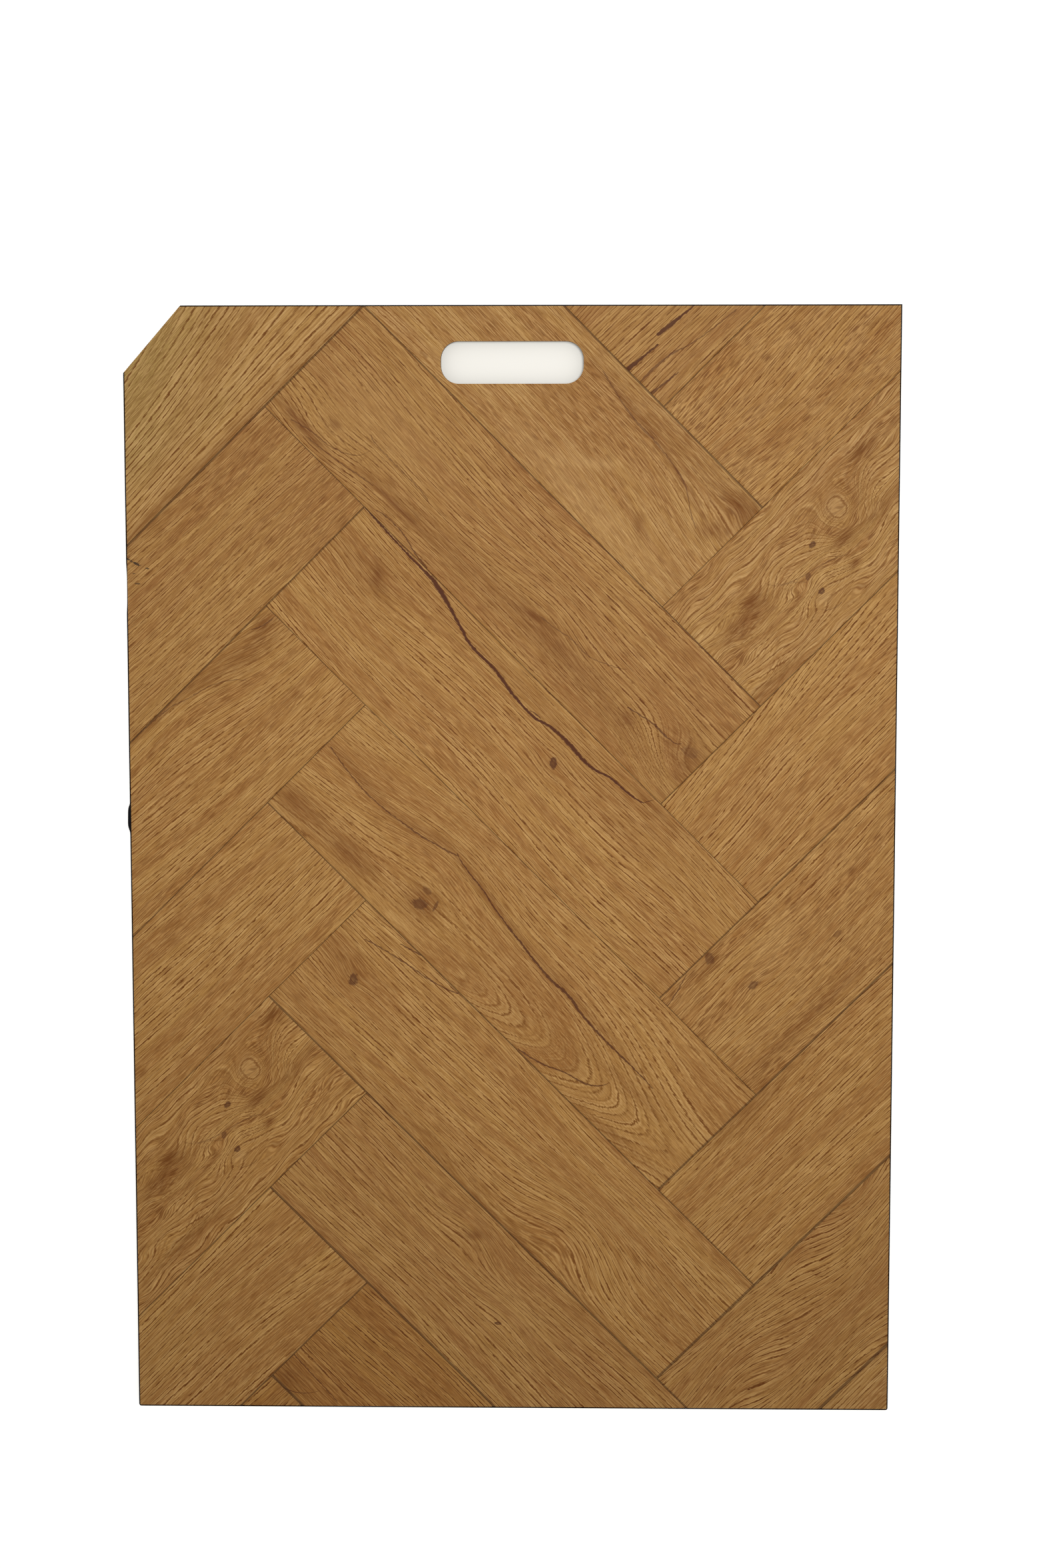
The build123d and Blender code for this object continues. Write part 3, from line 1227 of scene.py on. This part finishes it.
@dataclass
class Studio:
    """White floor, one soft light high above the panel, and the camera."""

    floor_size: float = 12.0
    floor_gap: float = 0.2 * MM
    floor_ink: str = "#F4F1E9"
    floor_lift: float = 0.52
    slot_middle: Vector = Vector((0.8, 411.3, 0.0)) * MM
    slot_reach: Vector = Vector((70.0, 30.0, 1000.0)) * MM
    slot_blur: float = 1.3
    sky_strength: float = 0.57
    light_stand: Vector = Vector((0.4, 0.6, 3.2))
    light_aim: Vector = Vector((0.1, 0.25, 0.0))
    light_size: float = 0.9
    light_cone: float = 35.0
    light_power: float = 236.0
    camera_stand: Vector = Vector((60.26, 340.22, 2417.5)) * MM
    camera_aim: Vector = Vector((8.86, 69.4, 8.5)) * MM
    camera_roll: float = -0.042
    lens: float = 67.99

    def lay_floor(self) -> None:
        """Lay the floor just under the panel's back face.

        It is seen a little brighter than it is lit, but not in the hand slot, in the panel's shade.
        """
        bpy.ops.object.select_all(action="DESELECT")
        bpy.ops.mesh.primitive_plane_add(size=self.floor_size, location=(0, 0, -self.floor_gap))
        floor = bpy.context.active_object
        floor.name = "studio_floor"
        bpy.ops.object.transform_apply(location=True)
        material, tree = new_material("white_studio_floor")
        spot = add_node(tree, "TexCoord").node.outputs["Object"]
        spot = add_node(tree, "Mapping", spot, self.slot_middle, None, self.slot_reach, **INTO)
        away = add_node(tree, "VectorMath", spot, operation="LENGTH").node.outputs["Value"]
        lift = add_node(tree, "MapRange", away, 1.0, self.slot_blur, 0.0, self.floor_lift, **SMOOTH)
        lift = add_node(tree, "Math", background_rays(tree), lift, operation="MULTIPLY")
        matt = add_node(tree, "BsdfDiffuse", linear(self.floor_ink))
        glow = add_node(tree, "Emission", (1, 1, 1, 1), lift)
        add_node(tree, "OutputMaterial", add_node(tree, "AddShader", matt, glow))
        floor.data.materials.append(material)

    def set_sky(self) -> None:
        """Surround the panel with even white light. What is seen of it is plain white."""
        world = bpy.data.worlds.new("studio_sky")
        world.use_nodes = True
        bpy.context.scene.world = world
        tree = world.node_tree
        tree.nodes.clear()
        strength = add_node(tree, "MapRange", background_rays(tree), 0.0, 1.0, self.sky_strength, 1.0)
        add_node(tree, "OutputWorld", add_node(tree, "Background", (1, 1, 1, 1), strength))

    def hang_light(self) -> None:
        """Hang the soft light, aimed at the panel's upper half. It falls off from there all round."""
        lamp = bpy.data.lights.new("soft_light", "SPOT")
        lamp.shadow_soft_size = self.light_size / 2
        lamp.spot_size = radians(self.light_cone)
        lamp.spot_blend = 1.0
        lamp.energy = self.light_power
        holder = bpy.data.objects.new("soft_light", lamp)
        bpy.context.scene.collection.objects.link(holder)
        holder.location = self.light_stand
        holder.rotation_euler = (self.light_aim - self.light_stand).to_track_quat("-Z", "Y").to_euler()

    def stand_camera(self) -> None:
        """Stand the camera over the panel, looking down on it."""
        camera = bpy.data.cameras.new("camera")
        camera.lens = self.lens
        camera.clip_end = 100.0
        holder = bpy.data.objects.new("camera", camera)
        bpy.context.scene.collection.objects.link(holder)
        back = (self.camera_stand - self.camera_aim).normalized()
        right = Vector((0, 1, 0)).cross(back).normalized()
        turned = Matrix((right, back.cross(right), back)).transposed().to_4x4()
        roll = Matrix.Rotation(radians(self.camera_roll), 4, "Z")
        holder.matrix_world = Matrix.Translation(self.camera_stand) @ turned @ roll
        bpy.context.scene.camera = holder

    def build(self) -> None:
        """Set up the whole studio."""
        bpy.context.scene.view_settings.view_transform = "Standard"
        self.lay_floor()
        self.set_sky()
        self.hang_light()
        self.stand_camera()


def main() -> None:
    """Dress the panel piece by piece, and set up the studio round it."""
    logging.basicConfig(level=logging.INFO, format="%(name)s: %(message)s")
    Studio().build()
    LOG.info("studio: floor, sky, light and camera")
    for part in (BackingBoard(), EdgeBand(), HerringboneField()):
        for node in part.dress():
            LOG.info("%s: dressed, of the %s", node, type(part).__name__)


if __name__ == "__main__":
    main()
